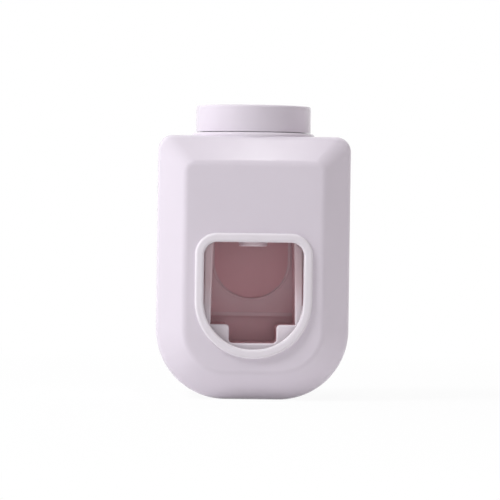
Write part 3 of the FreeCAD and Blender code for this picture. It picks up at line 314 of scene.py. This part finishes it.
# The pair of numbers after a colour is the lowest and the highest roughness
MATERIALS = {
    "casing_plastic": moulded("casing_plastic", LAVENDER_WHITE, (0.10, 0.14), **PLASTIC),
    "trim_plastic": moulded("trim_plastic", TRIM_WHITE, (0.18, 0.25), **PLASTIC),
    "guide_plastic": upper_shade_painted("guide_plastic", GUIDE_WHITE, GUIDE_SHADE_PINK, (0.28, 0.36), **PLASTIC),
    "mauve_plastic": moulded("mauve_plastic", MAUVE, (0.32, 0.42), **PLASTIC),
    "plate_plastic": recessed(
        "plate_plastic", RECESS_SHADE_MAUVE, EDGE_HIGHLIGHT_MAUVE, FOOT_MAUVE, LIP_HIGHLIGHT_MAUVE, (0.32, 0.42), **PLASTIC,
    ),
    "nozzle_plastic": moulded("nozzle_plastic", NOZZLE_PINK, (0.26, 0.34), **PLASTIC),
    "inner_plastic": moulded("inner_plastic", PUMP_WHITE, (0.45, 0.58), **INSIDE_PLASTIC),
    "silicone": rubbery("silicone", MILKY, (0.42, 0.55), **RUBBER),
    "foam_adhesive": foamed("foam_adhesive", FOAM_WHITE, (0.75, 0.92), Metallic=0.0),
    "screw_steel": drawn_steel("screw_steel", ZINC, (0.22, 0.38), ALONG_Y),
    "pin_steel": drawn_steel("pin_steel", GROUND_STEEL, (0.15, 0.3), ALONG_X),
    "spring_steel": drawn_steel("spring_steel", SPRING_GREY, (0.25, 0.4), ALONG_Y),
}

FINISHED_NODES = {
    "casing_plastic": ("front_shell", "dust_cap", "back_cover", "wall_plate"),
    "trim_plastic": ("window_bezel",),
    "guide_plastic": ("brush_guide",),
    "mauve_plastic": ("brush_tunnel",),
    "plate_plastic": ("push_plate",),
    "nozzle_plastic": ("nozzle",),
    "inner_plastic": ("tube_socket", "inlet_duct", "pump_body", "pump_frame", "push_lever", "lever_bushes"),
    "screw_steel": ("guide_screws", "pump_screws", "frame_screws", "cover_screws", "plate_screws"),
    "pin_steel": ("hinge_pin", "pin_clip"),
}
SHARP_ANGLE = math.radians(28)

for finish, names in FINISHED_NODES.items():
    for name in names:
        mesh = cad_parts[name].data
        mesh.materials.clear()
        mesh.materials.append(MATERIALS[finish])
        mesh.shade_smooth()
        mesh.set_sharp_from_angle(angle=SHARP_ANGLE)


# Soft and sprung pieces, each in the place of its solid
def place_piece(name, vertices, faces, slot, body, *nodes):
    """A smooth mesh piece that stands for some solids and rides on a body, or on none."""
    mesh = bpy.data.meshes.new(name)
    mesh.from_pydata(vertices, [], faces)
    mesh.validate()
    shape = bmesh.new()
    shape.from_mesh(mesh)
    bmesh.ops.recalc_face_normals(shape, faces=shape.faces)
    shape.to_mesh(mesh)
    shape.free()
    mesh.shade_smooth()
    mesh.set_sharp_from_angle(angle=SHARP_ANGLE)
    mesh.materials.append(MATERIALS[slot])
    piece = bpy.data.objects.new(name, mesh)
    bpy.context.scene.collection.objects.link(piece)
    if body:
        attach(piece, body)
    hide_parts(*nodes)
    return piece


def ring_faces(rings, around, closed=False):
    """Quads between rings of as many points each, and from the last to the first if closed."""
    last = rings if closed else rings - 1
    faces = []
    for i in range(last):
        for j in range(around):
            a = i * around + j
            b = i * around + (j + 1) % around
            c = (i + 1) % rings * around + (j + 1) % around
            d = (i + 1) % rings * around + j
            faces.append((a, b, c, d))
    return faces


def tube_faces(rings, around):
    """Quads between rings, with a flat end on the first and on the last."""
    last = (rings - 1) * around
    return ring_faces(rings, around) + [tuple(reversed(range(around))), tuple(range(last, last + around))]


def rounded_corners(points, radius, steps=4):
    """A profile with each inner point replaced by an arc-like curve of about that radius."""
    out = [points[0]]
    for before, corner, after in zip(points, points[1:], points[2:]):
        here = Vector(corner)
        back = Vector(before) - here
        ahead = Vector(after) - here
        reach = min(radius, back.length / 2, ahead.length / 2)
        start = here + back.normalized() * reach
        stop = here + ahead.normalized() * reach
        for k in range(steps + 1):
            t = k / steps
            out.append(tuple((1 - t) ** 2 * start + 2 * t * (1 - t) * here + t * t * stop))
    out.append(points[-1])
    return out


AXES = {
    "y": (Vector((0, 1, 0)), Vector((1, 0, 0)), Vector((0, 0, 1))),
    "z": (Vector((0, 0, 1)), Vector((1, 0, 0)), Vector((0, 1, 0))),
}


def turned(name, profile, axis, centre, slot, body, *nodes, around=72, closed=False):
    """A piece turned about an axis through centre, from points (radius, place along the axis)."""
    along, across, up = AXES[axis]
    level = centre - centre.project(along)
    vertices = []
    for radius, at in profile:
        for j in range(around):
            angle = TURN * j / around
            spoke = across * math.cos(angle) + up * math.sin(angle)
            vertices.append(level + along * at + spoke * radius)
    faces = ring_faces(len(profile), around, closed=True) if closed else tube_faces(len(profile), around)
    return place_piece(name, vertices, faces, slot, body, *nodes)


def middle(node):
    """The middle of a node's box."""
    low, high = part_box(node)
    return (low + high) / 2


# Radius of the small flat where a turned piece closes on its axis
TIP = 0.02 * MM

# Tube seal: a ring with a soft bevelled lip
seal_low, seal_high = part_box("tube_seal")
seal_radius = (seal_high.x - seal_low.x) / 2
seal_bore = 6.5 * MM
seal_bevel = 1.2 * MM
seal_rounding = 0.35 * MM
seal_profile = [
    (seal_bore, seal_low.z), (seal_radius, seal_low.z), (seal_radius, seal_high.z),
    (seal_bore + seal_bevel, seal_high.z), (seal_bore, seal_high.z - seal_bevel), (seal_bore, seal_low.z),
]
seal_curve = rounded_corners(seal_profile, seal_rounding)[:-1]
turned(
    "tube_seal_ring", seal_curve, "z", middle("tube_seal"), "silicone", "housing", "tube_seal", closed=True,
)

# Cap liner: a thin disc with two raised sealing rings on its face
liner_low, liner_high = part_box("cap_liner")
liner_radius = (liner_high.x - liner_low.x) / 2
liner_ring_shares = (0.86, 0.93)
liner_ring_width = 0.5 * MM
liner_ring_rise = 0.12 * MM
liner_rounding = 0.2 * MM
liner_face = liner_low.z + liner_ring_rise
liner_profile = [(TIP, liner_face)]
for share in liner_ring_shares:
    ring = share * liner_radius
    liner_profile += [
        (ring - liner_ring_width, liner_face), (ring, liner_low.z), (ring + liner_ring_width, liner_face),
    ]
liner_profile += [(liner_radius, liner_face), (liner_radius, liner_high.z), (TIP, liner_high.z)]
liner_curve = rounded_corners(liner_profile, liner_rounding)
turned("cap_liner_disc", liner_curve, "z", middle("cap_liner"), "silicone", "cap", "cap_liner")

# Bellows: three round folds, a clamped flange and a closed end
bellows_low, bellows_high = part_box("bellows")
bellows_flange = 1.2 * MM
bellows_start = bellows_low.y + bellows_flange
bellows_span = bellows_high.y - bellows_start
bellows_folds = 3
bellows_crest = 7.2 * MM
bellows_root = 5.2 * MM
bellows_wall = 0.9 * MM
fold_steps = 12


def bellows_radius(share):
    """The outside radius at a share of the folded length."""
    swell = (1 - math.cos(TURN * bellows_folds * share)) / 2
    return bellows_root + (bellows_crest - bellows_root) * swell


bellows_flange_radius = (bellows_high.x - bellows_low.x) / 2
fold_shares = [k / (fold_steps * bellows_folds) for k in range(fold_steps * bellows_folds + 1)]
bellows_outside = [(bellows_radius(s), bellows_start + bellows_span * s) for s in fold_shares]
bellows_inside = [
    (radius - bellows_wall, min(at, bellows_high.y - bellows_wall))
    for radius, at in reversed(bellows_outside)
]
bellows_profile = [
    (bellows_root - bellows_wall, bellows_low.y), (bellows_flange_radius, bellows_low.y),
    (bellows_flange_radius, bellows_start), *bellows_outside, (TIP, bellows_high.y),
    (TIP, bellows_high.y - bellows_wall), *bellows_inside,
]
bellows = turned(
    "bellows_folds", bellows_profile, "y", middle("bellows"), "silicone", None, "bellows", closed=True,
)

# Umbrella valve in the duct's floor
flap_low, flap_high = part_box("inlet_valve")
flap_radius = (flap_high.x - flap_low.x) / 2
flap_thickness = 0.8 * MM
flap_stem = 1.1 * MM
flap_bulb = 1.8 * MM
flap_bulb_height = 1.4 * MM
flap_taper_share = 0.6
flap_rounding = 0.25 * MM
flap_profile = [
    (TIP, flap_low.z), (flap_stem, flap_low.z), (flap_radius, flap_low.z + flap_thickness * flap_taper_share),
    (flap_radius, flap_low.z + flap_thickness), (flap_stem, flap_low.z + flap_thickness),
    (flap_stem, flap_high.z - flap_bulb_height), (flap_bulb, flap_high.z - flap_bulb_height),
    (flap_stem, flap_high.z), (TIP, flap_high.z),
]
flap_curve = rounded_corners(flap_profile, flap_rounding)
turned("inlet_umbrella", flap_curve, "z", middle("inlet_valve"), "silicone", "housing", "inlet_valve")

# Slit valve over the nozzle: a flange and a bill that closes to a line
bill_low, bill_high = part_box("outlet_valve")
bill_centre = middle("outlet_valve")
bill_flange_radius = (bill_high.x - bill_low.x) / 2
bill_flange = 1.0 * MM
bill_radius = 2.5 * MM
bill_tip = 1.0 * MM
bill_around = 48
bill_steps = 10
bill_root = bill_high.z - bill_flange
bill_rings = [
    (TIP, TIP, bill_high.z), (bill_flange_radius, bill_flange_radius, bill_high.z),
    (bill_flange_radius, bill_flange_radius, bill_root), (bill_radius, bill_radius, bill_root),
]
for k in range(1, bill_steps + 1):
    share = k / bill_steps
    flat = bill_radius + (bill_tip / 2 - bill_radius) * math.sin(share * TURN / 4)
    bill_rings.append((bill_radius, flat, bill_root + (bill_low.z - bill_root) * share))
bill_rings.append((TIP, TIP, bill_low.z))
bill_points = [
    Vector((
        bill_centre.x + wide * math.cos(TURN * j / bill_around),
        bill_centre.y + deep * math.sin(TURN * j / bill_around),
        at,
    ))
    for wide, deep, at in bill_rings
    for j in range(bill_around)
]
bill_faces = tube_faces(len(bill_rings), bill_around)
place_piece("outlet_bill", bill_points, bill_faces, "silicone", "housing", "outlet_valve")

# Press pad: a domed rubber button on a spigot
pad_low, pad_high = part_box("press_pad")
pad_radius = (pad_high.x - pad_low.x) / 2
pad_thickness = 1.5 * MM
pad_back = pad_low.y + pad_thickness
pad_spigot = 1.8 * MM
pad_flat_share = 0.7
pad_dome = 0.5 * MM
pad_rounding = 0.3 * MM
pad_profile = [
    (TIP, pad_low.y), (pad_radius * pad_flat_share, pad_low.y), (pad_radius, pad_low.y + pad_dome),
    (pad_radius, pad_back), (pad_spigot, pad_back), (pad_spigot, pad_high.y), (TIP, pad_high.y),
]
pad_curve = rounded_corners(pad_profile, pad_rounding)
press_pad = turned("press_button", pad_curve, "y", middle("press_pad"), "silicone", "push_lever", "press_pad")

# Return spring: one wire in even turns
spring_low, spring_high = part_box("return_spring")
spring_centre = middle("return_spring")
wire = 0.7 * MM
spring_radius = (spring_high.x - spring_low.x) / 2 - wire
spring_turns = 6
spring_steps = 40
wire_around = 14
spring_rings = spring_turns * spring_steps + 1
spring_points = []
spring_start = spring_low.y + wire
spring_stop = spring_high.y - wire
spring_along = Vector((0, 1, 0))
for i in range(spring_rings):
    share = i / (spring_rings - 1)
    angle = TURN * spring_turns * share
    spoke = Vector((math.cos(angle), 0, math.sin(angle)))
    base = Vector((spring_centre.x, spring_start + (spring_stop - spring_start) * share, spring_centre.z))
    for j in range(wire_around):
        turn = TURN * j / wire_around
        offset = spoke * (spring_radius + wire * math.cos(turn)) + spring_along * (wire * math.sin(turn))
        spring_points.append(base + offset)
spring_faces = tube_faces(spring_rings, wire_around)
spring = place_piece("return_coil", spring_points, spring_faces, "spring_steel", None, "return_spring")

# Foam pad behind the wall plate, with edges that bulge a little
foam_low, foam_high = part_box("adhesive_pad")
foam_corner = 4.0 * MM
foam_bulge = 0.15 * MM
foam_corner_steps = 10
foam_edge = 0.25 * MM
# Each ring of the foam's side: how far it is drawn in, and its share of the depth
foam_rings = [(foam_edge, 0.0), (0.0, 0.15), (0.0, 0.5), (0.0, 0.85), (foam_edge, 1.0)]


def foam_outline(inset):
    """A rounded rectangle, drawn in by an inset."""
    points = []
    corners = ((1, 1), (-1, 1), (-1, -1), (1, -1))
    half_width = (foam_high.x - foam_low.x) / 2
    half_height = (foam_high.z - foam_low.z) / 2
    centre = middle("adhesive_pad")
    for quarter, (side, end) in enumerate(corners):
        for k in range(foam_corner_steps + 1):
            angle = TURN / 4 * (quarter + k / foam_corner_steps)
            x = centre.x + side * (half_width - foam_corner) + (foam_corner - inset) * math.cos(angle)
            z = centre.z + end * (half_height - foam_corner) + (foam_corner - inset) * math.sin(angle)
            points.append((x, z))
    return points


foam_points = []
for drawn_in, depth_share in foam_rings:
    at = foam_low.y + (foam_high.y - foam_low.y) * depth_share
    swell = foam_bulge * (1 - abs(2 * depth_share - 1))
    foam_points += [Vector((x, at, z)) for x, z in foam_outline(foam_bulge - swell + drawn_in)]
foam_faces = tube_faces(len(foam_rings), len(foam_points) // len(foam_rings))
foam = place_piece("foam_pad", foam_points, foam_faces, "foam_adhesive", "wall_plate", "adhesive_pad")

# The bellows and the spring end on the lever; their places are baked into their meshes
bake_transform(bellows)
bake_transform(spring)


# Floor, world and lamps
def lit_by_paths(tree):
    """1 for camera, glossy and transmission rays, which see the plain white background."""
    paths = tree.nodes.new("ShaderNodeLightPath")
    total = paths.outputs["Is Camera Ray"]
    for ray in ("Is Glossy Ray", "Is Transmission Ray"):
        node = tree.nodes.new("ShaderNodeMath")
        node.operation = "MAXIMUM"
        tree.links.new(total, node.inputs[0])
        tree.links.new(paths.outputs[ray], node.inputs[1])
        total = node.outputs["Value"]
    return total


# Paper floor: near the object a share of its white is its own, so that it keeps the shadow
FLOOR_HALF = 4.0
PAPER_LOW = (0.92, 0.92, 0.92, 1.0)
PAPER_HIGH = (0.95, 0.95, 0.95, 1.0)
PAPER_FIBRE = 6 * MM
PAPER_ROUGHNESS = 0.9
WHITE = (1.0, 1.0, 1.0, 1.0)
NEAR_WHITE_SHARE = 0.93
NEAR_EDGE = 70 * MM
FAR_EDGE = 450 * MM
floor_mesh = bpy.data.meshes.new("floor")
floor_mesh.from_pydata(
    [(-FLOOR_HALF, -FLOOR_HALF, 0), (FLOOR_HALF, -FLOOR_HALF, 0),
     (FLOOR_HALF, FLOOR_HALF, 0), (-FLOOR_HALF, FLOOR_HALF, 0)],
    [], [(0, 1, 2, 3)],
)
floor = bpy.data.objects.new("floor", floor_mesh)
bpy.context.scene.collection.objects.link(floor)

paper = Surface("floor_paper", Specular_IOR_Level=0.0)
fibre = paper.between(paper.noise(PAPER_FIBRE, detail=3.0), 0.0, 1.0)
paper.paint(paper.blend(fibre, PAPER_LOW, PAPER_HIGH))
paper.dull(PAPER_ROUGHNESS)
glow = paper.add("Emission", Color=WHITE, Strength=1.0)
distance = paper.add("VectorMath", {"operation": "LENGTH"}, Vector=paper.place).outputs["Value"]
white_share = paper.between(distance, NEAR_WHITE_SHARE, 1.0, NEAR_EDGE, FAR_EDGE)
mix = paper.add("MixShader")
paper.feed(mix.inputs[0], paper.maths("MULTIPLY", lit_by_paths(paper.tree), white_share))
paper.feed(mix.inputs[1], paper.shader.outputs["BSDF"])
paper.feed(mix.inputs[2], glow.outputs["Emission"])
paper.feed(paper.tree.nodes["Material Output"].inputs["Surface"], mix.outputs["Shader"])
floor_mesh.materials.append(paper.material)

# Soft light from every side of the studio, each side with its own level and tint
LEFT, RIGHT, FRONT, BACK, UP = (-1, 0, 0), (1, 0, 0), (0, -1, 0), (0, 1, 0), (0, 0, 1)
SIDE_LIGHT = {
    LEFT: (0.03, 0.03, 0.03),
    RIGHT: (0.16, 0.147, 0.15),
    FRONT: (0.33, 0.314, 0.321),
    BACK: (0.40, 0.39, 0.40),
    UP: (0.04, 0.04, 0.04),
}
world = bpy.data.worlds.new("studio")
bpy.context.scene.world = world
world.use_nodes = True
tree = world.node_tree
background = tree.nodes["Background"]
direction = tree.nodes.new("ShaderNodeTexCoord").outputs["Generated"]


def vector_node(operation, *sources):
    """A vector sum, product or the like of sockets and plain vectors in the world's tree."""
    node = tree.nodes.new("ShaderNodeVectorMath")
    node.operation = operation
    for socket, source in zip(node.inputs, sources):
        if isinstance(source, bpy.types.NodeSocket):
            tree.links.new(source, socket)
        else:
            socket.default_value = source
    return node


side_light = None
for side, tint in SIDE_LIGHT.items():
    facing = vector_node("DOT_PRODUCT", direction, side).outputs["Value"]
    lobe = vector_node("MAXIMUM", facing, (0, 0, 0)).outputs["Vector"]
    tinted = vector_node("MULTIPLY", lobe, tint).outputs["Vector"]
    side_light = vector_node("ADD", side_light, tinted).outputs["Vector"] if side_light else tinted
seen = tree.nodes.new("ShaderNodeMixRGB")
tree.links.new(lit_by_paths(tree), seen.inputs["Fac"])
tree.links.new(side_light, seen.inputs["Color1"])
seen.inputs["Color2"].default_value = WHITE
tree.links.new(seen.outputs["Color"], background.inputs["Color"])

object_middle = (cad_low + cad_high) / 2


def softbox(name, place, size, power, tint=(1.0, 1.0, 1.0), mirrored=False):
    """A rectangular lamp turned to the object's middle, which shows in gloss only if mirrored."""
    lamp = bpy.data.lights.new(name, "AREA")
    lamp.shape = "RECTANGLE"
    lamp.size, lamp.size_y = size
    lamp.energy = power
    lamp.color = tint
    holder = bpy.data.objects.new(name, lamp)
    holder.location = place
    holder.rotation_euler = (object_middle - Vector(place)).to_track_quat("-Z", "Y").to_euler()
    holder.visible_glossy = mirrored
    bpy.context.scene.collection.objects.link(holder)


# Lamps, with their places and sizes in metres and their powers in watts
COOL_WHITE = (1.0, 1.01, 1.03)
WARM_WHITE = (1.0, 0.93, 0.95)
KEY_POWER = 7.7
LEFT_POWER = 4.6
RIGHT_POWER = 1.6
REAR_POWER = 1.5
OVERHEAD_POWER = 1.8
CARD_POWER = 0.03
softbox("key_softbox", (-0.72, -0.42, 0.92), (0.35, 0.35), KEY_POWER, COOL_WHITE)
softbox("left_softbox", (-1.0, 0.10, 0.25), (0.7, 0.9), LEFT_POWER, COOL_WHITE)
softbox("right_softbox", (1.0, 0.10, 0.25), (0.7, 0.9), RIGHT_POWER, WARM_WHITE)
softbox("rear_softbox", (0.0, 0.55, 0.95), (0.9, 0.5), REAR_POWER)
softbox("overhead_softbox", (0.02, -0.22, 1.15), (0.25, 0.25), OVERHEAD_POWER)
softbox("top_card", (0.036, -0.105, 1.1), (0.05, 0.025), CARD_POWER, mirrored=True)

# Camera at the photograph's view: a long lens, nearly level, a little to the left
YAW = math.radians(1.7)
ELEVATION = math.radians(0.6)
ROLL = math.radians(0.8)
DISTANCE = 1.4
FRAME_WIDTH = 202 * MM
SENSOR = 36.0
AIM = Vector((-1.4 * MM, -21.2 * MM, 60.4 * MM))

lens = bpy.data.cameras.new("camera")
lens.sensor_width = SENSOR
lens.lens = SENSOR * DISTANCE / FRAME_WIDTH
camera = bpy.data.objects.new("camera", lens)
level = math.cos(ELEVATION)
toward = Vector((math.sin(YAW) * level, math.cos(YAW) * level, -math.sin(ELEVATION)))
camera.location = AIM - toward * DISTANCE
camera.rotation_mode = "QUATERNION"
camera.rotation_quaternion = toward.to_track_quat("-Z", "Y") @ Quaternion((0, 0, 1), ROLL)
bpy.context.scene.collection.objects.link(camera)
bpy.context.scene.camera = camera
bpy.context.scene.view_settings.view_transform = "Standard"
